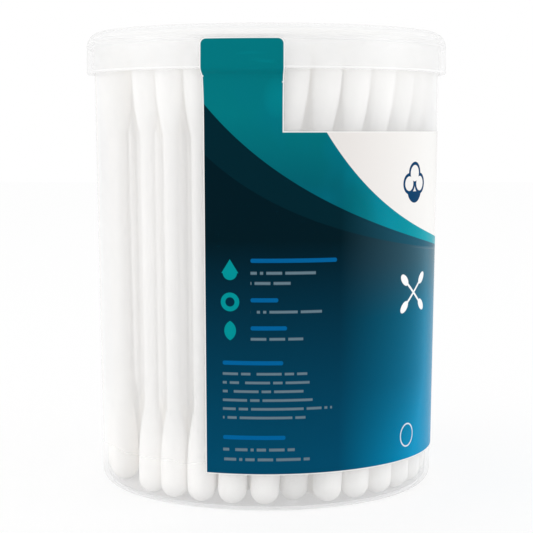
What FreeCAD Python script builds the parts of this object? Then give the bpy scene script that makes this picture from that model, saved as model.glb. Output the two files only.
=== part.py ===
import FreeCAD, Part
import math
import os

# A round tub of cotton swabs with a push-on lid, a wrap-round label and a thin seal over the lid.
# Millimetres, +Z up. The origin is the middle of the tub's flat base, and -Y is the front.

# Tub
tub_base_radius = 29.12
tub_wall = 0.8
tub_floor = 0.6
wall_draft = 0.01334
base_corner_radius = 1.8
inner_corner_radius = 1.1
rim_bead_height = 0.9
rim_bead_depth = 0.12
head_room = 0.77

# Lid
skirt_wall = 0.85
skirt_depth = 5.4
skirt_clearance = 0.2
skirt_flare = 0.1
lid_panel = 0.9
stacking_rim_height = 0.85
stacking_rim_width = 1.75
lid_corner_radius = 2.4
land_share = 0.95
lip_height = 1.0
lip_clearance = 0.06
stop_ring_gap = 0.07
stop_ring_wall = 0.6
stop_ring_clearance = 0.35

# Swabs
swab_length = 75.0
stick_diameter = 2.4
stick_bore = 1.4
bud_diameter = 4.8
bud_length = 14.6
bud_round_length = 5.2
bud_neck_wall = 0.12
bud_crown = 2.2
stick_grip_gap = 0.02
bud_side_gap = 0.05
outer_row_gap = 0.43
bud_wall_gap = 0.08
floor_gap = 0.03
first_swab_azimuth = -0.95
places_left = 4
places_right = 10
leaning_places = 8
half_lean_place = -1
open_places = 2.12
last_lean = 0.15
set_back_place = 1
set_back = 2.65
set_back_spare = 0.4
wander_share = 0.5
row_turn = 7.0
named_rows = 4

# Label and seal
label_film = 0.1
glue_gap = 0.02
label_foot = 6.2
label_width = 55.0
label_start_azimuth = -19.4
label_end_azimuth = 190.0
tab_azimuth_width = 24.6
tab_root_radius = 0.6
tear_line_drop = 1.5
tear_gap = 0.12
seal_on_skirt = 4.8
seal_lower_run = 0.5
seal_drag_gap = 0.15
seal_corner_radius = 0.7


def tub_radius(height):
    """Outer radius of the tub's wall at a height."""
    return tub_base_radius + wall_draft * height


# Heights and radii that several pieces share
swab_foot = tub_floor + floor_gap
swab_top = swab_foot + swab_length
tub_height = swab_top + head_room
rim_radius = tub_radius(tub_height) + rim_bead_depth
skirt_inner_radius = rim_radius + skirt_clearance
skirt_outer_radius = skirt_inner_radius + skirt_wall
skirt_foot_radius = skirt_outer_radius + skirt_flare
skirt_foot = tub_height - skirt_depth
lid_top = tub_height + lid_panel + stacking_rim_height
tear_line = skirt_foot - tear_line_drop
label_top = label_foot + label_width
bud_pitch = bud_diameter + bud_side_gap
full_turn = 360.0


def skirt_radius(height):
    """Outer radius of the lid's skirt, which widens a little towards its foot."""
    return skirt_foot_radius - skirt_flare * (height - skirt_foot) / (lid_top - skirt_foot)


def polar(radius, azimuth, height):
    """A point at an azimuth in degrees, measured from the front towards the right."""
    turn = math.radians(azimuth)
    return FreeCAD.Vector(radius * math.sin(turn), -radius * math.cos(turn), height)


def turned(outline, start_azimuth=0.0, angle=full_turn):
    """A solid of a closed (radius, height) outline, turned about the Z axis from an azimuth."""
    corners = [polar(r, start_azimuth, z) for r, z in outline]
    section = Part.Face(Part.makePolygon(corners + corners[:1]))
    return section.revolve(FreeCAD.Vector(0, 0, 0), FreeCAD.Vector(0, 0, 1), angle)


def ring_edges(shape, radius, height):
    """The circular edges at a radius and height."""
    near = 1e-4
    found = []
    for edge in shape.Edges:
        curve = edge.Curve
        if not isinstance(curve, Part.Circle):
            continue
        if abs(curve.Radius - radius) < near and abs(curve.Center.z - height) < near:
            found.append(edge)
    return found


def radial_edges(shape, azimuth, height):
    """The short straight edges through a film at an azimuth and height."""
    near = 1e-3
    found = []
    for edge in shape.Edges:
        middle = edge.CenterOfMass
        if not isinstance(edge.Curve, Part.Line) or abs(middle.z - height) > near:
            continue
        if middle.distanceToPoint(polar(math.hypot(middle.x, middle.y), azimuth, middle.z)) < near:
            found.append(edge)
    return found


def make_tub():
    """One thin moulding: flat floor, drafted wall and a slight bead round the rim."""
    inner_foot = tub_radius(tub_floor) - tub_wall
    bead_foot = tub_height - rim_bead_height
    outline = [
        (0, 0),
        (tub_base_radius, 0),
        (tub_radius(bead_foot), bead_foot),
        (rim_radius, bead_foot + rim_bead_depth),
        (rim_radius, tub_height),
        (tub_radius(tub_height) - tub_wall, tub_height),
        (inner_foot, tub_floor),
        (0, tub_floor),
    ]
    tub = turned(outline)
    tub = tub.makeFillet(base_corner_radius, ring_edges(tub, tub_base_radius, 0))
    return tub.makeFillet(inner_corner_radius, ring_edges(tub, inner_foot, tub_floor))


def make_lid():
    """A skirted cap that rests on the tub's rim, with a stacking rim above and a stop ring below."""
    panel_top = tub_height + lid_panel
    recess_radius = skirt_inner_radius - stacking_rim_width
    ring_outer = tub_radius(tub_height) - tub_wall - stop_ring_clearance
    ring_inner = ring_outer - stop_ring_wall
    ring_foot = swab_top + stop_ring_gap
    lip_radius = rim_radius + lip_clearance
    lip_top = skirt_foot + lip_height
    outline = [
        (0, panel_top),
        (recess_radius - stacking_rim_height, panel_top),
        (recess_radius, lid_top),
        (skirt_outer_radius, lid_top),
        (skirt_foot_radius, skirt_foot),
        (lip_radius + skirt_flare, skirt_foot),
        (lip_radius, lip_top),
        (skirt_inner_radius, lip_top + skirt_clearance),
        (skirt_inner_radius, tub_height),
        (ring_outer, tub_height),
        (ring_outer, ring_foot),
        (ring_inner, ring_foot),
        (ring_inner, tub_height),
        (0, tub_height),
    ]
    lid = turned(outline)
    corner_radius = min(lid_corner_radius, land_share * (skirt_outer_radius - recess_radius))
    return lid.makeFillet(corner_radius, ring_edges(lid, skirt_outer_radius, lid_top))


def film_band(low, high, start_azimuth, angle):
    """A band of label film round the tub's wall between two heights."""
    outline = [
        (tub_radius(low) + glue_gap, low),
        (tub_radius(low) + glue_gap + label_film, low),
        (tub_radius(high) + glue_gap + label_film, high),
        (tub_radius(high) + glue_gap, high),
    ]
    return turned(outline, start_azimuth, angle)


def make_label():
    """The label that wraps the tub, with a tab that runs up to the tear line under the lid."""
    tab_end = label_start_azimuth + tab_azimuth_width
    tall = film_band(label_foot, tear_line - tear_gap, label_start_azimuth, label_end_azimuth - label_start_azimuth)
    inside = tub_radius(label_top) - tub_wall
    outside = skirt_foot_radius
    above = [(inside, label_top), (outside, label_top), (outside, skirt_foot), (inside, skirt_foot)]
    beside_tab = turned(above, tab_end, label_end_azimuth - label_start_azimuth)
    root = radial_edges(beside_tab, tab_end, label_top)
    return tall.cut(beside_tab.makeFillet(tab_root_radius, root)).Solids[0]


def make_seal():
    """The torn-off top of the tab, which stays stuck to the lid's skirt and lifts with it."""
    low_radius = rim_radius + seal_drag_gap
    knee = tear_line + seal_lower_run
    seal_top = skirt_foot + seal_on_skirt
    thin = label_film
    outline = [
        (low_radius, tear_line),
        (low_radius, knee),
        (skirt_foot_radius + glue_gap, skirt_foot - glue_gap),
        (skirt_radius(seal_top) + glue_gap, seal_top),
        (skirt_radius(seal_top) + glue_gap + thin, seal_top),
        (skirt_foot_radius + glue_gap + thin, skirt_foot - glue_gap - thin),
        (low_radius + thin, knee - thin),
        (low_radius + thin, tear_line),
    ]
    seal = turned(outline, label_start_azimuth, tab_azimuth_width)
    corners = radial_edges(seal, label_start_azimuth, seal_top)
    corners += radial_edges(seal, label_start_azimuth + tab_azimuth_width, seal_top)
    return seal.makeFillet(seal_corner_radius, corners)


def make_stick():
    """A hollow stick, drawn from the height of its lower end."""
    height = swab_length - 2 * bud_crown
    foot = FreeCAD.Vector(0, 0, bud_crown)
    outside = Part.makeCylinder(stick_diameter / 2, height, foot)
    return outside.cut(Part.makeCylinder(stick_bore / 2, height, foot))


def make_bud():
    """Cotton wound on a stick's lower end: a round head that narrows to a neck."""
    head = bud_diameter / 2
    bore = stick_diameter / 2 + stick_grip_gap
    neck = bore + bud_neck_wall
    taper = bud_length - bud_round_length
    narrowing = head - neck
    bend = (taper ** 2 + narrowing ** 2) / (2 * narrowing)
    half_turn = math.asin(taper / bend) / 2
    middle = (head - bend * (1 - math.cos(half_turn)), bud_round_length + bend * math.sin(half_turn))
    slope = math.sqrt(0.5)
    dome_middle = (head * slope, head * (1 - slope))

    def at(point):
        return FreeCAD.Vector(point[0], 0, point[1])

    edges = [
        Part.Arc(at((0, 0)), at(dome_middle), at((head, head))).toShape(),
        Part.makeLine(at((head, head)), at((head, bud_round_length))),
        Part.Arc(at((head, bud_round_length)), at(middle), at((neck, bud_length))).toShape(),
        Part.makeLine(at((neck, bud_length)), at((bore, bud_length))),
        Part.makeLine(at((bore, bud_length)), at((bore, bud_crown))),
        Part.makeLine(at((bore, bud_crown)), at((0, bud_crown))),
        Part.makeLine(at((0, bud_crown)), at((0, 0))),
    ]
    section = Part.Face(Part.Wire(edges))
    return section.revolve(FreeCAD.Vector(0, 0, 0), FreeCAD.Vector(0, 0, 1), full_turn)


def spacing_angle(radius_a, radius_b, distance):
    """The angle in degrees between two places at given radii that lie a distance apart."""
    cosine = (radius_a ** 2 + radius_b ** 2 - distance ** 2) / (2 * radius_a * radius_b)
    return math.degrees(math.acos(max(-1.0, min(1.0, cosine))))


def row_radii():
    """Radii of the rows in which the swabs stand, from the wall inwards, with one swab in the middle."""
    radius = tub_radius(tub_floor) - tub_wall - bud_diameter / 2 - bud_wall_gap
    radii = []
    while radius >= bud_pitch:
        radii.append(radius)
        radius -= bud_pitch
    return radii + [0.0]


def free_width(radius, step):
    """The room that a swab has on each side of it in a row."""
    return math.radians(step - spacing_angle(radius, radius, bud_pitch)) * radius / 2


def full_row(radius, start):
    """As many evenly spaced azimuths as a row has room for, and the angle from one to the next."""
    count = int(full_turn / spacing_angle(radius, radius, bud_pitch))
    step = full_turn / count
    return [start + place * step for place in range(count)], step


def row_with_pocket(radius, start, pocket):
    """A row that leaves a gap, pocket degrees each side of its start, for a swab of the row outside it."""
    room = full_turn - 2 * pocket
    count = 1 + int(room / spacing_angle(radius, radius, bud_pitch))
    step = room / (count - 1)
    return [start + pocket + place * step for place in range(count)], step


def lean_to_right(place):
    """How far a front swab of the outer row leans, as a share of the way to the next place."""
    if place == half_lean_place:
        return 0.5
    return 1.0 if place > half_lean_place else 0.0


def spread(start, end, count):
    """Evenly spaced azimuths after a start, the last of them at the end."""
    return [start + (end - start) * (place + 1) / count for place in range(count)]


def outer_row(radius):
    """The outer row: its front leans right beside the label's tab, it is open at one spot on the left, and
    it stands closer behind. One foot is set back from the wall."""
    step = spacing_angle(radius, radius, bud_diameter + outer_row_gap)
    front = range(-places_left, places_right)
    feet = [first_swab_azimuth + step * place for place in front]
    tops = [foot + step * lean_to_right(place) for foot, place in zip(feet, front) if place < leaning_places]
    row_end = feet[0] - open_places * step + full_turn
    behind = int((row_end - feet[-1]) / spacing_angle(radius, radius, bud_pitch))
    tops += spread(tops[-1], row_end + last_lean * step, places_right - leaning_places + behind)
    slack = free_width(radius, (row_end - feet[-1]) / behind)
    feet += spread(feet[-1], row_end, behind)
    row = [(radius, foot, radius, top, slack) for foot, top in zip(feet, tops)]
    pushed_in = places_left + set_back_place
    row[pushed_in] = (radius - set_back,) + row[pushed_in][1:]
    return row


def swab_places():
    """For each row, its swabs' places: radius and azimuth at the foot and at the top, and the free width."""
    radii = row_radii()
    rows = [outer_row(radii[0])]
    set_back_azimuth = rows[0][places_left + set_back_place][1]
    pocket = spacing_angle(radii[0] - set_back, radii[1], bud_pitch + set_back_spare)
    for row, radius in enumerate(radii[1:-1], start=1):
        if row == 1:
            azimuths, step = row_with_pocket(radius, set_back_azimuth, pocket)
        else:
            azimuths, step = full_row(radius, set_back_azimuth + row * row_turn)
        rows.append([(radius, azimuth, radius, azimuth, free_width(radius, step)) for azimuth in azimuths])
    rows.append([(0.0, 0.0, 0.0, 0.0, 0.0)])
    return rows


def swab_placement(place, outer_radius, serial):
    """Stands a swab on the floor: it leans out with the wall and a little to one side."""
    foot_radius, foot_azimuth, top_radius, top_azimuth, slack = place
    lean = wall_draft * top_radius / outer_radius
    aside = wander_share * slack * math.sin(2.4 * serial)
    aside_above = wander_share * slack * math.sin(3.7 * serial + 1.0)
    around = math.degrees(1.0 / foot_radius) if foot_radius else 0.0
    foot = polar(foot_radius, foot_azimuth + aside * around, swab_foot)
    top = polar(top_radius + lean * swab_length, top_azimuth + aside_above * around, swab_top)
    turn = FreeCAD.Rotation(FreeCAD.Vector(0, 0, 1), top - foot)
    return FreeCAD.Placement(foot, turn)


def make_swabs():
    """Sticks, lower buds and upper buds, grouped by row as separate solids, with the innermost together."""
    stick = make_stick()
    lower_bud = make_bud()
    upper_bud = lower_bud.mirror(FreeCAD.Vector(0, 0, swab_length / 2), FreeCAD.Vector(0, 0, 1))
    kinds = {"sticks": stick, "lower_buds": lower_bud, "upper_buds": upper_bud}
    rows = swab_places()
    outer_radius = rows[0][0][0]
    groups = {}
    serial = 0
    for row, places in enumerate(rows):
        group = "core" if row >= named_rows else "row_" + str(row + 1)
        for place in places:
            placement = swab_placement(place, outer_radius, serial)
            serial += 1
            for kind, shape in kinds.items():
                copy = shape.copy()
                copy.Placement = placement.multiply(copy.Placement)
                groups.setdefault(kind + "_" + group, []).append(copy)
    return {name: Part.makeCompound(copies) for name, copies in groups.items()}


os.makedirs("parts", exist_ok=True)
pieces = {"tub": make_tub(), "lid": make_lid(), "label_wrap": make_label(), "seal_tab": make_seal()}
pieces.update(make_swabs())
for name, shape in pieces.items():
    shape.exportStep("parts/" + name + ".step")
    print(name, len(shape.Solids), "solids", round(shape.Volume, 2), "mm3", shape.isValid())
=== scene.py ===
import math
import random
import bpy
import bmesh
from mathutils import Matrix, Vector

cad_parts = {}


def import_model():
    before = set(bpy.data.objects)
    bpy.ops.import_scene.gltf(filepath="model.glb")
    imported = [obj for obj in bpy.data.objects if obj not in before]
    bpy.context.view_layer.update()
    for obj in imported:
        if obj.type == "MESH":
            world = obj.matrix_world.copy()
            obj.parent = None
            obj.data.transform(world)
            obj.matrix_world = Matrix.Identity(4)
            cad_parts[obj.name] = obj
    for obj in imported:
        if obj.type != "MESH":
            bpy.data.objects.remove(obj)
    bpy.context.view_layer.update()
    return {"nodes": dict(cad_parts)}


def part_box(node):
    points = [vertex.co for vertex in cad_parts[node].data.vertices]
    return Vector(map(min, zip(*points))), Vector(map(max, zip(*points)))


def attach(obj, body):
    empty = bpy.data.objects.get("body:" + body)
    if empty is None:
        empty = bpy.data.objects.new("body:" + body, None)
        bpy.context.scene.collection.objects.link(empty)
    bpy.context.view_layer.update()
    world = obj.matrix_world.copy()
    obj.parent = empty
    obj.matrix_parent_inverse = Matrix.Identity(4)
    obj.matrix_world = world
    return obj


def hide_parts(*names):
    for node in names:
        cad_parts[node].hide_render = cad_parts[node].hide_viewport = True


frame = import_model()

mm = 0.001
smoothAngle = 35.0
bpy.ops.object.select_all(action="DESELECT")
scene = bpy.context.scene
print("frame loaded:", len(frame["nodes"]), "nodes")


# Shader maths: a Value wraps a socket, so that sums on values add their own Math nodes

class Value:
    def __init__(self, finish, socket):
        self.finish = finish
        self.socket = socket

    def maths(self, operation, *others, **settings):
        values = dict(enumerate((self,) + others))
        return self.finish.add("ShaderNodeMath", dict(operation=operation, **settings), values)

    def __add__(self, other):
        return self.maths("ADD", other)

    def __radd__(self, other):
        return self.maths("ADD", other)

    def __sub__(self, other):
        return self.maths("SUBTRACT", other)

    def __rsub__(self, other):
        return self.finish.add("ShaderNodeMath", {"operation": "SUBTRACT"}, {0: other, 1: self})

    def __mul__(self, other):
        return self.maths("MULTIPLY", other)

    def __rmul__(self, other):
        return self.maths("MULTIPLY", other)

    def __truediv__(self, other):
        return self.maths("DIVIDE", other)

    def __neg__(self):
        return self.maths("MULTIPLY", -1.0)

    def __abs__(self):
        return self.maths("ABSOLUTE")

    def least(self, other):
        return self.maths("MINIMUM", other)

    def most(self, other):
        return self.maths("MAXIMUM", other)

    def clamped(self):
        return self.maths("ADD", 0.0, use_clamp=True)

    def root(self):
        return self.maths("SQRT")

    def over(self, limit):
        return self.maths("GREATER_THAN", limit)

    def below(self, limit, soft):
        # 1 below the limit and 0 above it, with a soft edge between
        return ((limit - self) / soft + 0.5).clamped()


class Finish:
    def __init__(self, name, **constants):
        self.material = bpy.data.materials.new(name)
        self.material.use_nodes = True
        self.tree = self.material.node_tree
        self.tree.nodes.clear()
        self.output = self.tree.nodes.new("ShaderNodeOutputMaterial")
        self.surface = self.tree.nodes.new("ShaderNodeBsdfPrincipled")
        self.tree.links.new(self.surface.outputs[0], self.output.inputs["Surface"])
        for key, value in constants.items():
            self.surface.inputs[key.replace("_", " ")].default_value = value

    def add(self, kind, settings={}, values={}, output=0):
        node = self.tree.nodes.new(kind)
        for key, value in settings.items():
            setattr(node, key, value)
        for key, value in values.items():
            if isinstance(value, Value):
                self.tree.links.new(value.socket, node.inputs[key])
            else:
                node.inputs[key].default_value = value
        return Value(self, node.outputs[output])

    def mix(self, factor, low, high):
        return self.add("ShaderNodeMix", {"data_type": "RGBA"}, {0: factor, 6: low, 7: high}, 2)

    def wire(self, socket, value):
        self.tree.links.new(value.socket, self.surface.inputs[socket])

    def bump(self, height, distance, strength=1.0):
        made = self.add("ShaderNodeBump", {}, {"Height": height, "Distance": distance, "Strength": strength})
        self.wire("Normal", made)

    def place(self, output="Object"):
        node = self.tree.nodes.new("ShaderNodeTexCoord")
        return Value(self, node.outputs[output])

    def noise(self, place, scale, detail=2.0, roughness=0.5):
        values = {"Vector": place, "Scale": scale, "Detail": detail, "Roughness": roughness}
        return self.add("ShaderNodeTexNoise", {}, values)

    def parts(self, place):
        node = self.tree.nodes.new("ShaderNodeSeparateXYZ")
        self.tree.links.new(place.socket, node.inputs[0])
        return [Value(self, socket) for socket in node.outputs]

    def stretched(self, place, x, y, z):
        return self.add("ShaderNodeMapping", {}, {"Vector": place, "Scale": (x, y, z)})


def tint(red, green, blue):
    # a colour given as it looks on screen, 0 to 255
    def linear(level):
        level = level / 255
        return level / 12.92 if level <= 0.04045 else ((level + 0.055) / 1.055) ** 2.4
    return (linear(red), linear(green), linear(blue), 1.0)


# Modelling helpers

def editing(thing):
    bpy.ops.object.select_all(action="DESELECT")
    bpy.context.view_layer.objects.active = thing
    thing.select_set(True)
    bpy.ops.object.mode_set(mode="EDIT")


def finished():
    bpy.ops.object.mode_set(mode="OBJECT")
    bpy.ops.object.select_all(action="DESELECT")


def chosen(thing, kind, test):
    # in edit mode: selects the "verts" or "edges" that pass a test, and nothing else
    bpy.context.tool_settings.mesh_select_mode = (kind == "verts", kind == "edges", False)
    bpy.ops.mesh.select_all(action="DESELECT")
    shape = bmesh.from_edit_mesh(thing.data)
    for part in getattr(shape, kind):
        part.select_set(bool(test(part)))
    shape.select_flush_mode()
    bmesh.update_edit_mesh(thing.data)


def latheTurned(name, stations, sides, sharp=smoothAngle, capped=True):
    # stations are (radius, height) in mm: a circle is extruded from one to the next, and its ends are
    # capped unless the path closes on itself; edges sharper than the given angle stay sharp
    radius, height = stations[0]
    bpy.ops.mesh.primitive_circle_add(vertices=sides, radius=radius * mm, fill_type="NGON",
                                      location=(0, 0, height * mm))
    piece = bpy.context.object
    piece.name = piece.data.name = name
    bpy.ops.object.transform_apply(location=True, rotation=False, scale=False)
    editing(piece)
    bpy.context.tool_settings.mesh_select_mode = (False, True, False)
    bpy.ops.mesh.select_all(action="SELECT")
    if not capped:
        bpy.ops.mesh.delete(type="ONLY_FACE")
        bpy.ops.mesh.select_all(action="SELECT")
    for nextRadius, nextHeight in stations[1:]:
        bpy.ops.mesh.extrude_edges_move(TRANSFORM_OT_translate={"value": (0, 0, (nextHeight - height) * mm)})
        share = nextRadius / radius
        bpy.ops.transform.resize(value=(share, share, 1), center_override=(0, 0, 0))
        radius, height = nextRadius, nextHeight
    if capped:
        bpy.ops.mesh.edge_face_add()
    bpy.ops.mesh.select_all(action="SELECT")
    bpy.ops.mesh.remove_doubles(threshold=1e-7)
    bpy.ops.mesh.normals_make_consistent(inside=False)
    finished()
    piece.select_set(True)
    bpy.context.view_layer.objects.active = piece
    bpy.ops.object.shade_smooth_by_angle(angle=math.radians(sharp))
    piece.select_set(False)
    return piece


def arc(centreRadius, centreHeight, bend, fromTurn, toTurn, steps):
    # stations along a rounded corner; a turn of 0 points outwards and 90 points up
    turns = [math.radians(fromTurn + (toTurn - fromTurn) * i / steps) for i in range(steps + 1)]
    return [(centreRadius + bend * math.cos(a), centreHeight + bend * math.sin(a)) for a in turns]


def dressed(piece, finish, body, slot, *nodes):
    piece.data.materials.clear()
    piece.data.materials.append(finish.material)
    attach(piece, body)
    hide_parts(*nodes)
    return piece


# The tub: one thin frosted moulding, all sizes in mm

tubSizes = {"baseRadius": 29.12, "draft": 0.01334, "wall": 0.8, "floor": 0.6, "corner": 1.8,
            "innerCorner": 1.1, "bead": 0.12, "beadHeight": 0.9, "rounding": 0.12,
            "levels": (2.5, 9, 24, 40, 56), "outerSteps": 7, "innerSteps": 5, "sides": 144}
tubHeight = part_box("tub")[1].z / mm


def wallRadius(height):
    return tubSizes["baseRadius"] + tubSizes["draft"] * height


def insideRadius(height):
    return wallRadius(height) - tubSizes["wall"]


def makeTub():
    t = tubSizes
    beadFoot = tubHeight - t["beadHeight"]
    rim = wallRadius(tubHeight) + t["bead"]
    stations = arc(t["baseRadius"] - t["corner"], t["corner"], t["corner"], -90, 0, t["outerSteps"])
    stations += [(wallRadius(h), h) for h in t["levels"] + (beadFoot,)]
    stations += [(rim, beadFoot + t["bead"]), (rim, tubHeight - t["rounding"])]
    stations += [(rim - t["rounding"], tubHeight), (insideRadius(tubHeight) + t["rounding"], tubHeight)]
    stations += [(insideRadius(tubHeight), tubHeight - t["rounding"])]
    stations += [(insideRadius(h), h) for h in reversed(t["levels"])]
    bend = t["innerCorner"]
    stations += arc(insideRadius(t["floor"]) - bend, t["floor"] + bend, bend, 0, -90, t["innerSteps"])
    return latheTurned("frostedTub", stations, t["sides"])


# The lid: a skirted cap with a recessed panel and a stacking rim

lidSizes = {"panel": 0.9, "rimHeight": 0.85, "rimWidth": 1.75, "corner": 2.4, "cornerSteps": 7,
            "skirtWall": 0.85, "skirtGap": 0.2, "flare": 0.1, "footSteps": 3, "lipHeight": 1.0,
            "lipGap": 0.06, "ringGap": 0.35, "ringWall": 0.6, "ringDepth": 0.7, "rounding": 0.16,
            "sides": 144}
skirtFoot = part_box("lid")[0].z / mm
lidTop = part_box("lid")[1].z / mm
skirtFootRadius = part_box("lid")[1].x / mm


def skirtRadius(height):
    return skirtFootRadius - lidSizes["flare"] * (height - skirtFoot) / (lidTop - skirtFoot)


def makeLid():
    s = lidSizes
    panelTop = tubHeight + s["panel"]
    innerRadius = skirtFootRadius - s["flare"] - s["skirtWall"]
    recess = innerRadius - s["rimWidth"]
    lip = innerRadius - s["skirtGap"] + s["lipGap"]
    ringOuter = insideRadius(tubHeight) - s["ringGap"]
    ringInner = ringOuter - s["ringWall"]
    ringFoot = tubHeight - s["ringDepth"]
    outer = skirtRadius(lidTop - s["corner"])
    edge = s["rounding"]
    stations = [(recess - s["rimHeight"], panelTop), (recess - edge, lidTop - edge), (recess, lidTop)]
    stations += arc(outer - s["corner"], lidTop - s["corner"], s["corner"], 90, 0, s["cornerSteps"])
    stations += arc(skirtFootRadius - edge, skirtFoot + edge, edge, 0, -90, s["footSteps"])
    stations += [(lip + s["flare"], skirtFoot), (lip, skirtFoot + s["lipHeight"])]
    stations += [(innerRadius, skirtFoot + s["lipHeight"] + s["skirtGap"]), (innerRadius, tubHeight)]
    stations += [(ringOuter, tubHeight), (ringOuter, ringFoot)]
    stations += [(ringInner, ringFoot), (ringInner, tubHeight)]
    return latheTurned("pushOnLid", stations, s["sides"])


# Both mouldings' cloudy polypropylene: a low alpha lets the swabs show through a pale veil

veil = {"wallClear": 0.22, "wallCloudy": 0.36, "wallLow": tint(249, 249, 250), "white": tint(255, 255, 255),
        "wallRoughness": 0.34, "wallCloud": (90, 3, 0.35), "cloudFrom": 6, "cloudRun": 12, "cloudDrift": 0.3,
        "foot": 0.26, "paintedFootShade": tint(240, 240, 241), "footTop": 3.4, "footGain": 1.6,
        "floor": 0.7, "floorReach": 27.6, "floorTop": 1.4, "floorSoft": 0.4,
        "lid": 0.34, "lidShade": tint(246, 246, 246), "lidLight": tint(253, 253, 253), "lidRoughness": 0.2,
        "lidCloud": (110, 3, 0.2), "ridges": (77.4, 76.55, 75.6), "ridgeWidth": 0.14, "ridgeSoft": 0.24,
        "ridge": tint(230, 230, 231), "ridgeShare": 0.7, "ridgeVeil": 0.2, "skin": 30.9, "skinDrop": 0.4,
        "footHighlight": 0.3, "highlightWidth": 0.07, "highlightSoft": 0.14, "highlightShare": 0.7, "highlightVeil": 0.3,
        "grain": (1400, 2, 0.3), "flow": (160, 1, 0.12), "bumpDepth": 0.00004, "bumpStrength": 0.15}


def flowing(finish, place, scale, detail, stretch):
    # noise that is drawn out along the tub's height
    return finish.noise(finish.stretched(place, 1, 1, stretch), scale, detail)


def frostedBump(frosted, place):
    scale, detail, share = veil["grain"]
    grain = frosted.noise(place, scale, detail) * share
    frosted.bump(grain + flowing(frosted, place, *veil["flow"]), veil["bumpDepth"], veil["bumpStrength"])


def wallFinish():
    # clearer in its lower part, cloudier higher up and densest in its floor
    v = veil
    frosted = Finish("frostedWall", Roughness=v["wallRoughness"])
    place = frosted.place()
    x, y, z = frosted.parts(place)
    high = z / mm
    cloud = flowing(frosted, place, *v["wallCloud"])
    foot = ((1 - high / v["footTop"]).clamped() * v["footGain"]).clamped()
    colour = frosted.mix(cloud, v["wallLow"], v["white"])
    # painted shade: the foot of the wall turns grey where it meets the floor
    frosted.wire("Base Color", frosted.mix(foot, colour, v["paintedFootShade"]))
    rising = ((high - v["cloudFrom"]) / v["cloudRun"] + cloud * v["cloudDrift"]).clamped()
    # the floor inside the wall is thicker than the wall
    inside = (v["floorReach"] - (x * x + y * y).root() / mm).clamped()
    inside = inside * high.below(v["floorTop"], v["floorSoft"])
    clear = v["wallClear"] + (v["wallCloudy"] - v["wallClear"]) * rising
    clear = clear + (v["foot"] - v["wallClear"]) * foot
    frosted.wire("Alpha", clear + (v["floor"] - v["foot"]) * inside)
    frostedBump(frosted, place)
    return frosted


def capFinish():
    # the lid is thicker and cloudier, its inner ribs show as faint level lines near the top, and a painted
    # highlight runs along its foot
    v = veil
    frosted = Finish("frostedCap", Roughness=v["lidRoughness"])
    place = frosted.place()
    x, y, z = frosted.parts(place)
    high = z / mm
    colour = frosted.mix(flowing(frosted, place, *v["lidCloud"]), v["lidShade"], v["lidLight"])
    lines = [abs(high - level).below(v["ridgeWidth"], v["ridgeSoft"]) for level in v["ridges"]]
    # only on the outside of the skirt and round its corner
    outside = (x * x + y * y).root() / mm - v["skin"] + (high - tubHeight + v["skinDrop"]).clamped()
    ribs = (lines[0] + lines[1] + lines[2]) * outside.over(0.0)
    colour = frosted.mix((ribs * v["ridgeShare"]).clamped(), colour, v["ridge"])
    # a painted highlight: a bright line along the skirt's rounded foot edge, a little denser there too
    foot = abs(high - skirtFoot - v["footHighlight"]).below(v["highlightWidth"], v["highlightSoft"]) * v["highlightShare"]
    colour = frosted.mix(foot, colour, v["white"])
    frosted.wire("Base Color", colour)
    frosted.wire("Alpha", v["lid"] + (ribs * v["ridgeVeil"] + foot * v["highlightVeil"]).clamped())
    frostedBump(frosted, place)
    return frosted


tub = dressed(makeTub(), wallFinish(), "tub", "frosted_tub", "tub")
lid = dressed(makeLid(), capFinish(), "lid", "frosted_lid", "lid")
print("tub and lid turned")


# The printed label and its seal: cut flat in mm, then wrapped

filmSizes = {"start": -19.4, "end": 190.0, "tabAngle": 24.6, "foot": 6.2, "top": 61.2, "film": 0.1,
             "glue": 0.02, "cutRadius": 29.6, "stepAcross": 1.4, "stepUp": 4.6, "tabStep": 1.0,
             "liftFrom": 64.0, "sealCorner": 1.0, "cornerSteps": 6, "sealSpread": 0.15, "sealAcross": 0.7,
             "sealUp": 0.3, "aboveTear": ((0, 0), (0.07, 0.3), (0.26, 0.7)),
             "byFoot": ((-0.24, -0.32), (-0.04, -0.02)), "pastFoot": 0.5, "nearly": 0.01}
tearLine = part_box("seal_tab")[0].z / mm
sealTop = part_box("seal_tab")[1].z / mm
sealRadius = wallRadius(tubHeight) + tubSizes["bead"] + filmSizes["sealSpread"]


def arcLength(degrees):
    # where an azimuth lies on the film before it is wrapped
    return math.radians(degrees) * filmSizes["cutRadius"]


def flatSheet(name, left, right, low, high):
    bpy.ops.mesh.primitive_plane_add(size=1)
    sheet = bpy.context.object
    sheet.name = sheet.data.name = name
    editing(sheet)
    bpy.ops.mesh.select_all(action="SELECT")
    bpy.ops.transform.resize(value=(right - left, high - low, 1), center_override=(0, 0, 0))
    bpy.ops.transform.translate(value=((left + right) / 2, (low + high) / 2, 0))
    finished()
    return sheet


def sliced(sheet, places, across):
    editing(sheet)
    normal = (1, 0, 0) if across else (0, 1, 0)
    for place in places:
        point = (place, 0, 0) if across else (0, place, 0)
        bpy.ops.mesh.select_all(action="SELECT")
        bpy.ops.mesh.bisect(plane_co=point, plane_no=normal)
    finished()


def evenly(low, high, step):
    count = max(1, round((high - low) / step))
    return [low + (high - low) * i / count for i in range(1, count)]


def thickened(sheet, thickness):
    wall = sheet.modifiers.new("film", "SOLIDIFY")
    wall.thickness = thickness * mm
    wall.offset = 1.0
    bpy.context.view_layer.objects.active = sheet
    sheet.select_set(True)
    bpy.ops.object.modifier_apply(modifier="film")
    bpy.ops.object.shade_smooth_by_angle(angle=math.radians(smoothAngle))
    sheet.select_set(False)


def polar(radius, turn, height):
    return Vector((radius * math.sin(turn), -radius * math.cos(turn), height)) * mm


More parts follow.
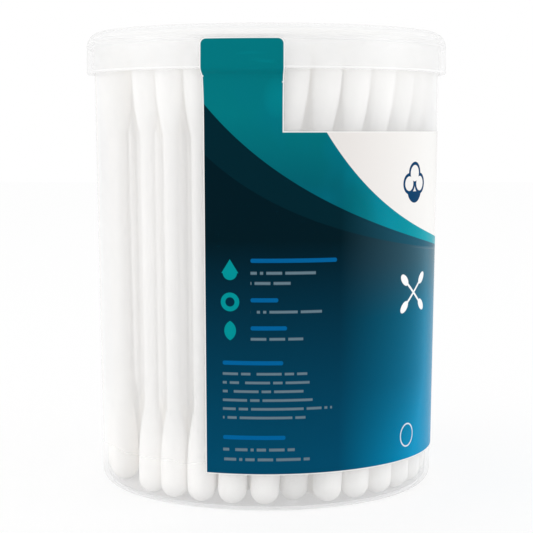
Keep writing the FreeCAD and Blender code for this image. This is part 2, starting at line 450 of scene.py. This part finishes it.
def makeLabel():
    f = filmSizes
    left = arcLength(f["start"])
    right = arcLength(f["end"])
    tabEnd = arcLength(f["start"] + f["tabAngle"])
    sheet = flatSheet("wrapLabel", left, right, f["foot"], f["top"])
    sliced(sheet, [tabEnd], True)
    editing(sheet)

    def underTab(edge):
        return all(v.co.y > f["top"] - f["nearly"] and v.co.x < tabEnd + f["nearly"] for v in edge.verts)

    chosen(sheet, "edges", underTab)
    bpy.ops.mesh.extrude_edges_move(TRANSFORM_OT_translate={"value": (0, tearLine - f["top"], 0)})
    finished()
    sliced(sheet, evenly(left, right, f["stepAcross"]), True)
    sliced(sheet, evenly(f["foot"], f["liftFrom"], f["stepUp"]), False)
    sliced(sheet, evenly(f["liftFrom"] - f["tabStep"], tearLine, f["tabStep"]), False)
    lift = sealRadius - wallRadius(tearLine) - f["glue"]
    for vertex in sheet.data.vertices:
        turn, height = vertex.co.x / f["cutRadius"], vertex.co.y
        # the tab leaves the wall where it reaches up to the lid
        share = max(0.0, (height - f["liftFrom"]) / (tearLine - f["liftFrom"]))
        vertex.co = polar(wallRadius(height) + f["glue"] + lift * share ** 2, turn, height)
    thickened(sheet, f["film"])
    return sheet


def sealPath():
    # where the seal film lies as (radius, height): off the wall, over the skirt's foot and up the skirt
    f = filmSizes
    foot = skirtFootRadius + f["glue"]
    path = [(sealRadius + out, tearLine + up) for out, up in f["aboveTear"]]
    path += [(foot + out, skirtFoot + up) for out, up in f["byFoot"]]
    return path + [(skirtRadius(level) + f["glue"], level) for level in (skirtFoot + f["pastFoot"], sealTop)]


def alongPath(path, distance):
    for (r0, z0), (r1, z1) in zip(path, path[1:]):
        run = math.hypot(r1 - r0, z1 - z0)
        if distance <= run or (r1, z1) == path[-1]:
            share = distance / run
            return r0 + (r1 - r0) * share, z0 + (z1 - z0) * share
        distance -= run


def makeSeal():
    f = filmSizes
    path = sealPath()
    length = sum(math.hypot(b[0] - a[0], b[1] - a[1]) for a, b in zip(path, path[1:]))
    left = arcLength(f["start"])
    right = arcLength(f["start"] + f["tabAngle"])
    sheet = flatSheet("sealTab", left, right, 0, length)
    editing(sheet)
    chosen(sheet, "verts", lambda vertex: vertex.co.y > length - f["nearly"])
    bpy.ops.mesh.bevel(affect="VERTICES", offset=f["sealCorner"], segments=f["cornerSteps"])
    finished()
    sliced(sheet, evenly(left, right, f["sealAcross"]), True)
    sliced(sheet, evenly(0, length, f["sealUp"]), False)
    for vertex in sheet.data.vertices:
        turn = vertex.co.x / f["cutRadius"]
        radius, height = alongPath(path, vertex.co.y)
        vertex.co = polar(radius, turn, height)
    thickened(sheet, f["film"])
    return sheet


# The print: plain fields of colour and simple shapes, placed by distance round the film and height in mm

printSizes = {
    "creamPaintedShade": tint(224, 220, 217), "cream": tint(236, 235, 233), "white": tint(240, 240, 240),
    "tealDeep": tint(0, 91, 104), "tealBlue": tint(0, 110, 134), "teal": tint(0, 113, 121),
    "tealHighlight": tint(0, 142, 152), "tealBright": tint(0, 158, 172), "bandDark": tint(0, 35, 45),
    "bandLight": tint(30, 92, 114), "navy": tint(0, 25, 34), "blueFoot": tint(0, 71, 101),
    "reflectionBlue": tint(64, 109, 127), "farBlue": tint(12, 111, 137), "blueBright": tint(0, 143, 188),
    "heading": tint(0, 98, 158), "line": tint(98, 120, 132), "icon": tint(0, 140, 144),
    "emblem": tint(0, 58, 98), "circle": tint(214, 224, 230),
    # the edges of the fields: level, rise, width and shift of each sweep
    "tealSweep": (41.2, 20.0, 25.0, 18.0), "bandSweep": (38.5, 17.6, 45.0, 0.0),
    "navySweep": (39.8, 10.7, 38.0, 0.0), "foldAt": 90, "foldSoft": 50.0, "fieldSoft": 0.09,
    "overTop": 0.2, "topSoft": 0.1,
    # how the fields shade: where each change begins, and over what length it is complete
    "depth": (44.0, 36.0), "side": (23.0, 42.0), "low": (20, 14), "reflectionRise": (31, 9), "tealFade": (52.0, 12.0),
    "sideShare": 0.6, "lowShare": 0.5, "farPower": 5.0, "farShare": 0.4,
    "cloud": (55, 2), "depthDrift": 0.05, "tealDrift": 0.3, "sideDrift": 0.2,
    "wisps": (75, 3, 0.6), "wispLevel": 0.46, "wispGain": 3.2, "wispTop": (66.0, 12.0),
    "patch": (1.6, 66.5, 0.12, 0.05, 0.3, 0.6), "patchShare": 0.35,
    "crumpleHighlight": (-2.2, 72.2, 0.05, 0.3, 0.35, 0.7), "creaseHighlight": (260, 3), "creaseHighlightStretch": (0.25, 0.25, 3.0),
    "creaseHighlightGain": 3.0, "glintDrop": 0.3, "glint": (0.09, 0.06), "glintFrom": (52, 18), "glintShare": 0.6,
    # small print: left, level and right end of each heading bar
    "headings": [(-2.5, 40.2, 11.5), (-2.5, 33.9, 1.9), (-2.5, 29.4, 3.3), (-7.05, 23.8, 2.7),
                 (-7.05, 11.7, 3.1)],
    "headingFoot": 0.28, "headingTop": 0.95, "headingRound": 0.3, "headingShare": 0.85,
    # left, top, right, pitch, rows and seed of each block of dashes
    "blocks": [(-2.5, 39.35, 9.0, 1.62, 2, 3.0), (-2.5, 33.1, 11.9, 1.5, 1, 8.0),
               (-2.5, 28.75, 8.5, 1.5, 1, 14.0), (-7.05, 23.1, 12.7, 1.42, 6, 21.0),
               (-7.05, 10.85, 12.1, 1.6, 2, 33.0)],
    "dashLevel": 0.32, "dash": (0.14, 0.1), "dashSoft": 0.1, "dashLength": 0.5, "dashShift": 3.7,
    "dashGaps": 0.17,
    "seedStep": 3.1, "shortest": 0.55, "longer": 0.45, "blockRound": 0.05,
    "boxSoft": 0.07, "shapeSoft": 0.08,
    # the marks
    "iconMiddle": -5.8, "drop": (39.2, 0.35, 1.15, 0.2, 0.62, 1.0, -0.4), "ring": (34.2, 1.5, 0.75),
    "leaf": (29.6, 0.8, 1.75), "boll": (28.6, 52.6),
    "lobes": ((-1.7, 0.0, 1.75), (1.7, 0.0, 1.75), (0.0, 1.7, 1.9)),
    "lobeLine": 0.55, "cup": (0.9, 2.3, 1.3), "swabs": (28.9, 34.4), "swabLean": (0.78, 0.626),
    "shaft": (0.2, 3.4), "tip": (3.6, 0.32, 0.72, 0.1),
    "circlePlace": (27.6, 10.4), "circleSize": (1.9, 0.12),
    # the cut edge
    "edge": 0.16, "edgeSoft": 0.06, "nick": 0.3, "nickOver": 1.0, "nickRound": 0.1, "leftNick": (69.75, 70.0),
    "rightNick": (68.8, 69.0), "relief": (260, 2, 0.00003, 0.35), "specular": 0.02}


def printFinish(name, roughness):
    film = Finish(name, Roughness=roughness, Specular_IOR_Level=printSizes["specular"])
    p = printSizes
    f = filmSizes
    place = film.place()
    x, y, z = film.parts(place)
    # azimuth from the front to the right, from -90 round the back to 270
    turn = (x.maths("ARCTAN2", -y) * (180 / math.pi) + 90).maths("WRAP", 360.0, 0.0) - 90
    high = z / mm
    across = turn * (math.pi / 180 * f["cutRadius"])
    # past the right-hand side the sweeps rise again towards the label's other end
    folded = p["foldAt"] - ((turn - p["foldAt"]) * (turn - p["foldAt"]) + p["foldSoft"]).root()

    def sweep(level, rise, width, shift):
        return level + rise * ((shift - folded) / width).maths("EXPONENT")

    def after(value, start, run):
        return (value - start) / run

    def before(value, start, run):
        return (start - value) / run

    def oval(middle, level, flat, tall, limit, soft):
        dx = across - middle
        dz = high - level
        return (dx * dx * flat + dz * dz * tall).below(limit, soft)

    def away(middle, level):
        dx = across - middle
        dz = high - level
        return (dx * dx + dz * dz).root()

    def disc(middle, level, radius):
        return away(middle, level).below(radius, p["shapeSoft"])

    def box(left, right, low, top, round):
        dx = (abs(across - (left + right) / 2) - (right - left) / 2 + round).most(0.0)
        dz = (abs(high - (low + top) / 2) - (top - low) / 2 + round).most(0.0)
        return (dx * dx + dz * dz).root().below(round, p["boxSoft"])

    def chance(value):
        return film.add("ShaderNodeTexWhiteNoise", {"noise_dimensions": "1D"}, {"W": value})

    def lines(left, tops, right, pitch, rows, seed):
        # rows of short dashes that stand for small print
        row = ((tops - high) / pitch).maths("FLOOR")
        inRow = abs(((tops - high) / pitch).maths("FRACT") - p["dashLevel"]).below(*p["dash"])
        ends = chance(row + seed)
        cell = ((across - left) / p["dashLength"] + row * p["dashShift"]).maths("FLOOR")
        kept = (chance(cell + seed * p["seedStep"]) - p["dashGaps"]).over(0.0)
        length = (right - left) * (p["shortest"] + ends * p["longer"])
        reach = across.below(left + length, p["dashSoft"])
        return inRow * kept * reach * box(left, right, tops - pitch * rows, tops, p["blockRound"])

    cloud = film.noise(place, *p["cloud"]) - 0.5
    depth = (before(high, *p["depth"]) + cloud * p["depthDrift"]).clamped()
    side = after(folded, *p["side"]).clamped()
    low = before(high, *p["low"]).clamped()

    # the lower field: navy to blue, brighter towards the right, partly print and partly painted reflection;
    # higher up on the right its greyish blue is painted reflection
    farSide = side * (p["sideShare"] + low * p["lowShare"])
    farSide = farSide + side.maths("POWER", p["farPower"]) * p["farShare"]
    far = film.mix(depth, p["farBlue"], p["blueBright"])
    # painted reflection: a greyish blue haze over the upper right of the lower field
    far = film.mix(after(high, *p["reflectionRise"]).clamped(), far, p["reflectionBlue"])
    navy = film.mix(farSide.clamped(), film.mix(depth, p["navy"], p["blueFoot"]), far)

    # the upper field: teal with soft wisps, a paler patch where the tab bends out from the wall and pale
    # creases where the seal is crumpled; the patch and the creases are painted highlights
    fade = (after(high, *p["tealFade"]) + cloud * p["tealDrift"]).clamped()
    teal = film.mix(fade, p["tealDeep"], p["teal"])
    scale, detail, stretch = p["wisps"]
    wisps = film.noise(film.stretched(place, 1, 1, stretch), scale, detail) - p["wispLevel"]
    teal = film.mix((wisps * p["wispGain"]).clamped() * high.below(*p["wispTop"]), teal, p["tealBlue"])
    teal = film.mix((side + cloud * p["sideDrift"]).clamped(), teal, p["tealBright"])
    # painted highlight where the tab bends out from the wall towards the lid
    teal = film.mix(oval(*p["patch"]) * (p["patchShare"] + cloud), teal, p["tealHighlight"])
    # painted highlights on the creases of the crumpled seal
    creaseHighlight = film.noise(film.stretched(place, *p["creaseHighlightStretch"]), *p["creaseHighlight"]) - 0.5
    teal = film.mix((oval(*p["crumpleHighlight"]) * creaseHighlight * p["creaseHighlightGain"]).clamped(), teal, p["tealHighlight"])

    # the fields lie over each other, with a pale one at the upper right
    navyEdge = sweep(*p["navySweep"])
    band = film.mix(side, p["bandDark"], p["bandLight"])
    # painted shade: the pale field is darker towards the front and lighter round to the right
    cream = film.mix(side, p["creamPaintedShade"], p["cream"])
    colour = film.mix(high.below(navyEdge, p["fieldSoft"]), band, navy)
    glint = abs(high - navyEdge + p["glintDrop"]).below(*p["glint"])
    colour = film.mix(glint * after(folded, *p["glintFrom"]).clamped() * p["glintShare"], colour, p["line"])
    colour = film.mix(high.below(sweep(*p["bandSweep"]), p["fieldSoft"]), teal, colour)
    onBody = high.below(f["top"] + p["overTop"], p["topSoft"])
    colour = film.mix((1 - high.below(sweep(*p["tealSweep"]), p["fieldSoft"])) * onBody, colour, cream)

    for left, level, right in p["headings"]:
        bar = box(left, right, level + p["headingFoot"], level + p["headingTop"], p["headingRound"])
        colour = film.mix(bar * p["headingShare"], colour, p["heading"])
    for block in p["blocks"]:
        colour = film.mix(lines(*block), colour, p["line"])

    # three small marks: a drop, a ring and a leaf
    middle = p["iconMiddle"]
    level, sink, radius, rise, slope, width, foot = p["drop"]
    point = (abs(across - middle) + (high - level - rise) * slope).below(width, p["shapeSoft"])
    drop = disc(middle, level - sink, radius).most(point * (high - level).over(foot))
    level, radius, hole = p["ring"]
    ring = disc(middle, level, radius) - disc(middle, level, hole)
    level, aside, radius = p["leaf"]
    leaf = disc(middle + aside, level, radius) * disc(middle - aside, level, radius)
    colour = film.mix(drop.most(ring).most(leaf).clamped(), colour, p["icon"])

    # a cotton boll on the pale field: three round lobes over a small cup
    middle, level = p["boll"]
    lobes = [disc(middle + dx, level + dz, radius) for dx, dz, radius in p["lobes"]]
    holes = [disc(middle + dx, level + dz, radius - p["lobeLine"]) for dx, dz, radius in p["lobes"]]
    outline = lobes[0].most(lobes[1]).most(lobes[2]) - holes[0].most(holes[1]).most(holes[2])
    drop, radius, top = p["cup"]
    cup = disc(middle, level - drop, radius) * high.below(level - top, p["shapeSoft"])
    colour = film.mix(outline.most(cup).clamped(), colour, p["emblem"])

    # two crossed swabs and a ring on the blue field
    dx = across - p["swabs"][0]
    dz = high - p["swabs"][1]
    shaftWidth, shaftEnd = p["shaft"]
    tipPlace, tipStretch, tipRadius, tipSoft = p["tip"]
    crossed = []
    for lean in (1, -1):
        cosine, sine = p["swabLean"][0], p["swabLean"][1] * lean
        along = abs(dx * cosine + dz * sine)
        beside = abs(dz * cosine - dx * sine)
        crossed.append(beside.below(shaftWidth, p["shapeSoft"]) * along.below(shaftEnd, p["shapeSoft"]))
        fromTip = (along - tipPlace) * (along - tipPlace) * tipStretch + beside * beside
        crossed.append(fromTip.root().below(tipRadius, tipSoft))
    swabs = crossed[0].most(crossed[1]).most(crossed[2]).most(crossed[3])
    colour = film.mix(swabs.clamped(), colour, p["white"])
    radius, width = p["circleSize"]
    circle = abs(away(*p["circlePlace"]) - radius).below(width, p["shapeSoft"])
    colour = film.mix(circle.clamped(), colour, p["circle"])

    # the film's own white shows as a thin line along the cut edge, and the tear has a nick on either side
    left = arcLength(f["start"])
    tabRight = arcLength(f["start"] + f["tabAngle"])
    fromLeft = (across - left).least(high - f["foot"])
    bodyInset = fromLeft.least(f["top"] - high).least(arcLength(f["end"]) - across)
    beside = (left + f["sealCorner"] - across).most(across - tabRight + f["sealCorner"]).most(0.0)
    above = (high - sealTop + f["sealCorner"]).most(0.0)
    tabInset = (f["sealCorner"] - (beside * beside + above * above).root()).least(fromLeft)
    leftNick = box(left - p["nickOver"], left + p["nick"], *p["leftNick"], p["nickRound"])
    rightNick = box(tabRight - p["nick"], tabRight + p["nickOver"], *p["rightNick"], p["nickRound"])
    edges = bodyInset.most(tabInset).below(p["edge"], p["edgeSoft"]).most(leftNick.most(rightNick))
    film.wire("Base Color", film.mix(edges, colour, p["cream"]))
    scale, detail, distance, strength = p["relief"]
    film.bump(film.noise(place, scale, detail), distance, strength)
    return film


def backFinish():
    back = Finish("plainFilmBack", Roughness=0.5)
    shade = back.noise(back.place(), 300, 2)
    back.wire("Base Color", back.mix(shade, tint(246, 246, 245), tint(252, 252, 251)))
    return back


def backed(piece, back):
    # the film is plain white on the side that is stuck down
    piece.data.materials.append(back.material)
    for face in piece.data.polygons:
        outwards = Vector((face.center.x, face.center.y, 0)).normalized()
        if face.normal.dot(outwards) < -0.5:
            face.material_index = 1


label = dressed(makeLabel(), printFinish("printedFilm", 0.24), "tub", "printed_film", "label_wrap")
seal = dressed(makeSeal(), printFinish("sealFilm", 0.26), "lid", "seal_film", "seal_tab")
filmBack = backFinish()
backed(label, filmBack)
backed(seal, filmBack)
print("label and seal wrapped")


# The swabs: sticks and wound cotton, stood where the frame's sticks stand

swabSizes = {"length": 75.0, "stick": 2.4, "bore": 1.4, "head": 4.8, "budLength": 14.6, "roundLength": 5.2,
             "neckWall": 0.12, "crown": 2.2, "grip": 0.02, "poleTurn": -82, "straightEnd": 1.4,
             "endBand": 0.5, "weld": 0.001, "budSharp": 60, "stickSharp": 40, "fluffDepth": 0.09,
             "fluffSize": 1.8, "mapRun": 12.0}
# sides of a bud, steps of its dome and of its taper, and sides of a stick: fewer where it is hidden
swabDetail = {"row_1": (22, 6, 7, 14), "row_2": (12, 3, 3, 10), "row_3": (9, 2, 2, 8), "row_4": (9, 2, 2, 8),
              "core": (9, 2, 2, 8)}
seenRows = ("row_1", "row_2")
# the inner rows get a warmer copy of the cotton: painted warm shade between the packed swabs
cottonShades = {"woundCotton": (tint(250, 248, 245), tint(255, 254, 252)),
                "shadedInnerCotton": (tint(250, 245, 237), tint(255, 252, 246))}
stickShades = (tint(250, 248, 245), tint(255, 253, 251))
# fibres: how they are stretched over the map, their detail and how far they show
fibres = {"strandMap": (5, 70, 1), "strandDetail": 5, "strandRoughness": 0.65, "tuftMap": (3, 9, 1),
          "tuftDetail": 3, "strandShare": 0.6, "depth": 0.00012, "strength": 0.6}
random.seed(7)


def middleOf(points):
    return Vector([(min(p[i] for p in points) + max(p[i] for p in points)) / 2 for i in range(3)])


def stickEnds(node):
    # the two ends of every stick in a frame node, read from the node's separate shells
    shape = bmesh.new()
    shape.from_mesh(frame["nodes"][node].data)
    bmesh.ops.remove_doubles(shape, verts=shape.verts, dist=swabSizes["weld"] * mm)
    waiting, ends = set(shape.verts), []
    for start in list(shape.verts):
        if start not in waiting:
            continue
        waiting.discard(start)
        shell, edge = [], [start]
        while edge:
            vertex = edge.pop()
            shell.append(vertex.co.copy())
            for link in vertex.link_edges:
                other = link.other_vert(vertex)
                if other in waiting:
                    waiting.discard(other)
                    edge.append(other)
        low, high = min(p.z for p in shell), max(p.z for p in shell)
        band = swabSizes["endBand"] * mm
        ends.append([middleOf([p for p in shell if abs(p.z - level) < band]) for level in (low, high)])
    shape.free()
    return ends


def budStations(domeSteps, taperSteps):
    s = swabSizes
    head = s["head"] / 2
    bore = s["stick"] / 2 + s["grip"]
    neck = bore + s["neckWall"]
    taper = s["budLength"] - s["roundLength"]
    narrowing = head - neck
    bend = (taper ** 2 + narrowing ** 2) / (2 * narrowing)
    stations = arc(0, head, head, s["poleTurn"], 0, domeSteps)
    if domeSteps > 3:
        stations += [(head, head + s["straightEnd"])]
    sweep = math.degrees(math.asin(taper / bend))
    stations += arc(head - bend, s["roundLength"], bend, 0, sweep, taperSteps)
    return stations + [(bore, s["budLength"]), (bore, s["crown"])]


def woundMap(piece):
    # a map of its own for the fibres: round the swab in one direction and up it in the other
    mesh = piece.data
    layer = mesh.uv_layers.new(name="wound")
    for face in mesh.polygons:
        turns = []
        for index in face.loop_indices:
            co = mesh.vertices[mesh.loops[index].vertex_index].co
            turns.append((math.atan2(co.y, co.x) / (2 * math.pi), co.z / mm / swabSizes["mapRun"]))
        first = turns[0][0]
        for index, (turn, up) in zip(face.loop_indices, turns):
            layer.data[index].uv = (turn - round(turn - first), up)


def copiesOf(template, name, matrices):
    made = []
    for matrix in matrices:
        copy = template.copy()
        copy.data = template.data.copy()
        copy.data.transform(matrix)
        scene.collection.objects.link(copy)
        made.append(copy)
    bpy.ops.object.select_all(action="DESELECT")
    for copy in made:
        copy.select_set(True)
    bpy.context.view_layer.objects.active = made[0]
    if len(made) > 1:
        bpy.ops.object.join()
    piece = bpy.context.object
    piece.name = piece.data.name = name
    piece.select_set(False)
    return piece


def fluffed(piece):
    # uneven cotton: pulled in here and there, never out
    cloth = bpy.data.textures.new(piece.name + "Fluff", "CLOUDS")
    cloth.noise_scale = swabSizes["fluffSize"] * mm
    cloth.noise_depth = 2
    pull = piece.modifiers.new("fluff", "DISPLACE")
    pull.texture = cloth
    pull.texture_coords = "LOCAL"
    pull.strength = swabSizes["fluffDepth"] * mm
    pull.mid_level = 1.0
    bpy.context.view_layer.objects.active = piece
    bpy.ops.object.modifier_apply(modifier="fluff")


def cottonFinish(name):
    shade, light = cottonShades[name]
    f = fibres
    cotton = Finish(name, Roughness=0.95, Sheen_Weight=0.25, Sheen_Roughness=0.5)
    wound = cotton.place("UV")
    strandPlace = cotton.stretched(wound, *f["strandMap"])
    strands = cotton.noise(strandPlace, 1.0, f["strandDetail"], f["strandRoughness"])
    tufts = cotton.noise(cotton.stretched(wound, *f["tuftMap"]), 1.0, f["tuftDetail"])
    cotton.wire("Base Color", cotton.mix((strands + tufts) * 0.5, shade, light))
    cotton.bump(strands * f["strandShare"] + tufts, f["depth"], f["strength"])
    return cotton


def stickFinish():
    shade, light = stickShades
    tube = Finish("whiteTube", Roughness=0.38)
    streaks = tube.noise(tube.stretched(tube.place(), 1, 1, 0.04), 900, 2)
    tube.wire("Base Color", tube.mix(streaks, shade, light))
    tube.bump(streaks, 0.00002, 0.4)
    return tube


def spin():
    return Matrix.Rotation(random.uniform(0, 2 * math.pi), 4, "Z")


def makeRow(group, cotton, plastic):
    # the swabs of one row, each stood between the two ends of its stick in the frame
    s = swabSizes
    sides, domeSteps, taperSteps, stickSides = swabDetail[group]
    bud = latheTurned("bud", budStations(domeSteps, taperSteps), sides, s["budSharp"])
    woundMap(bud)
    bottom = s["crown"]
    top = s["length"] - s["crown"]
    outside = s["stick"] / 2
    inside = s["bore"] / 2
    stations = [(inside, bottom), (outside, bottom), (outside, top), (inside, top), (inside, bottom)]
    stick = latheTurned("stick", stations, stickSides, s["stickSharp"], False)
    flip = Matrix.Translation((0, 0, s["length"] * mm)) @ Matrix.Rotation(math.pi, 4, "X")
    lower, upper, sticks = [], [], []
    for foot, head in stickEnds("sticks_" + group):
        along = (head - foot).normalized()
        turned = along.to_track_quat("Z", "Y").to_matrix().to_4x4()
        stand = Matrix.Translation(foot - along * s["crown"] * mm) @ turned
        lower.append(stand @ spin())
        upper.append(stand @ flip @ spin())
        sticks.append(stand)
    label = group.replace("_", "").capitalize()
    for kind, node, matrices in (("lowerBuds", "lower_buds_", lower), ("upperBuds", "upper_buds_", upper)):
        piece = copiesOf(bud, kind + label, matrices)
        if group in seenRows:
            fluffed(piece)
        dressed(piece, cotton, "tub", "cotton", node + group)
    dressed(copiesOf(stick, "sticks" + label, sticks), plastic, "tub", "stick_plastic", "sticks_" + group)
    bpy.data.objects.remove(bud)
    bpy.data.objects.remove(stick)


def makeSwabs():
    outerCotton = cottonFinish("woundCotton")
    shadedInnerCotton = cottonFinish("shadedInnerCotton")
    plastic = stickFinish()
    for group in swabDetail:
        makeRow(group, outerCotton if group == "row_1" else shadedInnerCotton, plastic)


makeSwabs()
print("swabs stood in the tub")


# The room: floor, light and camera

room = {"floor": 3.0, "floorShade": 0.93, "floorGlow": 0.8, "ambient": 1.0, "behind": 1.0, "mirrored": 0.7,
        "aim": 0.04, "panelPower": 4, "bounces": 16, "diffuseBounces": 10, "clearBounces": 32}
# azimuth, distance, height, width, height of the panel and brightness
panels = {"leftPanel": (-72, 0.7, 0.12, 0.42, 0.6, 1.25), "rightPanel": (80, 0.7, 0.12, 0.42, 0.6, 1.3)}
camera = {"lens": 101.41, "sensor": 36.0, "distance": 0.26631, "height": 0.06147, "pitch": 5.2065,
          "aside": 0.00003, "clipStart": 0.01, "clipEnd": 20}


def makeFloor():
    # pale and matt; the part of it that the camera sees glows, and so the shadow on it stays faint
    bpy.ops.mesh.primitive_plane_add(size=room["floor"])
    floor = bpy.context.object
    floor.name = "paleFloor"
    shade = (room["floorShade"],) * 3 + (1,)
    pale = Finish("paleFloor", Base_Color=shade, Roughness=0.9, Specular_IOR_Level=0.0)
    seen = pale.add("ShaderNodeLightPath")
    glow = pale.add("ShaderNodeEmission", {}, {"Color": (1, 1, 1, 1)})
    joined = pale.add("ShaderNodeMixShader", {}, {0: seen * room["floorGlow"], 2: glow})
    pale.tree.links.new(pale.surface.outputs[0], joined.socket.node.inputs[1])
    pale.tree.links.new(joined.socket, pale.output.inputs["Surface"])
    floor.data.materials.append(pale.material)


def makeWorld():
    # white all round, a little darker where it is mirrored
    world = bpy.data.worlds.new("studio")
    scene.world = world
    world.use_nodes = True
    tree = world.node_tree
    tree.nodes.clear()
    out = tree.nodes.new("ShaderNodeOutputWorld")
    path = tree.nodes.new("ShaderNodeLightPath")
    lights = {}
    for name in ("ambient", "behind", "mirrored"):
        lights[name] = tree.nodes.new("ShaderNodeBackground")
        lights[name].inputs["Color"].default_value = (1, 1, 1, 1)
        lights[name].inputs["Strength"].default_value = room[name]
    joined = lights["ambient"].outputs[0]
    for ray, name in (("Is Glossy Ray", "mirrored"), ("Is Camera Ray", "behind")):
        mix = tree.nodes.new("ShaderNodeMixShader")
        tree.links.new(path.outputs[ray], mix.inputs[0])
        tree.links.new(joined, mix.inputs[1])
        tree.links.new(lights[name].outputs[0], mix.inputs[2])
        joined = mix.outputs[0]
    tree.links.new(joined, out.inputs["Surface"])


def softbox(name, azimuth, distance, height, width, tall, brightness):
    # a lamp panel that faces the tub
    turn = math.radians(azimuth)
    lamp = bpy.data.lights.new(name, "AREA")
    lamp.shape = "RECTANGLE"
    lamp.size = width
    lamp.size_y = tall
    lamp.energy = brightness * room["panelPower"] * width * tall
    thing = bpy.data.objects.new(name, lamp)
    scene.collection.objects.link(thing)
    thing.location = (distance * math.sin(turn), -distance * math.cos(turn), height)
    toward = Vector((0, 0, room["aim"])) - thing.location
    thing.rotation_euler = toward.to_track_quat("-Z", "Y").to_euler()


def makeCamera():
    lens = bpy.data.cameras.new("camera")
    lens.lens = camera["lens"]
    lens.sensor_width = camera["sensor"]
    lens.clip_start = camera["clipStart"]
    lens.clip_end = camera["clipEnd"]
    eye = bpy.data.objects.new("camera", lens)
    scene.collection.objects.link(eye)
    eye.location = (camera["aside"], -camera["distance"], camera["height"])
    eye.rotation_euler = (math.radians(90 - camera["pitch"]), 0, 0)
    scene.camera = eye


makeFloor()
makeWorld()
for name, values in panels.items():
    softbox(name, *values)
makeCamera()
scene.view_settings.view_transform = "Standard"
scene.cycles.max_bounces = room["bounces"]
scene.cycles.diffuse_bounces = room["diffuseBounces"]
scene.cycles.transparent_max_bounces = room["clearBounces"]
print("room lit")

print("ready to render")
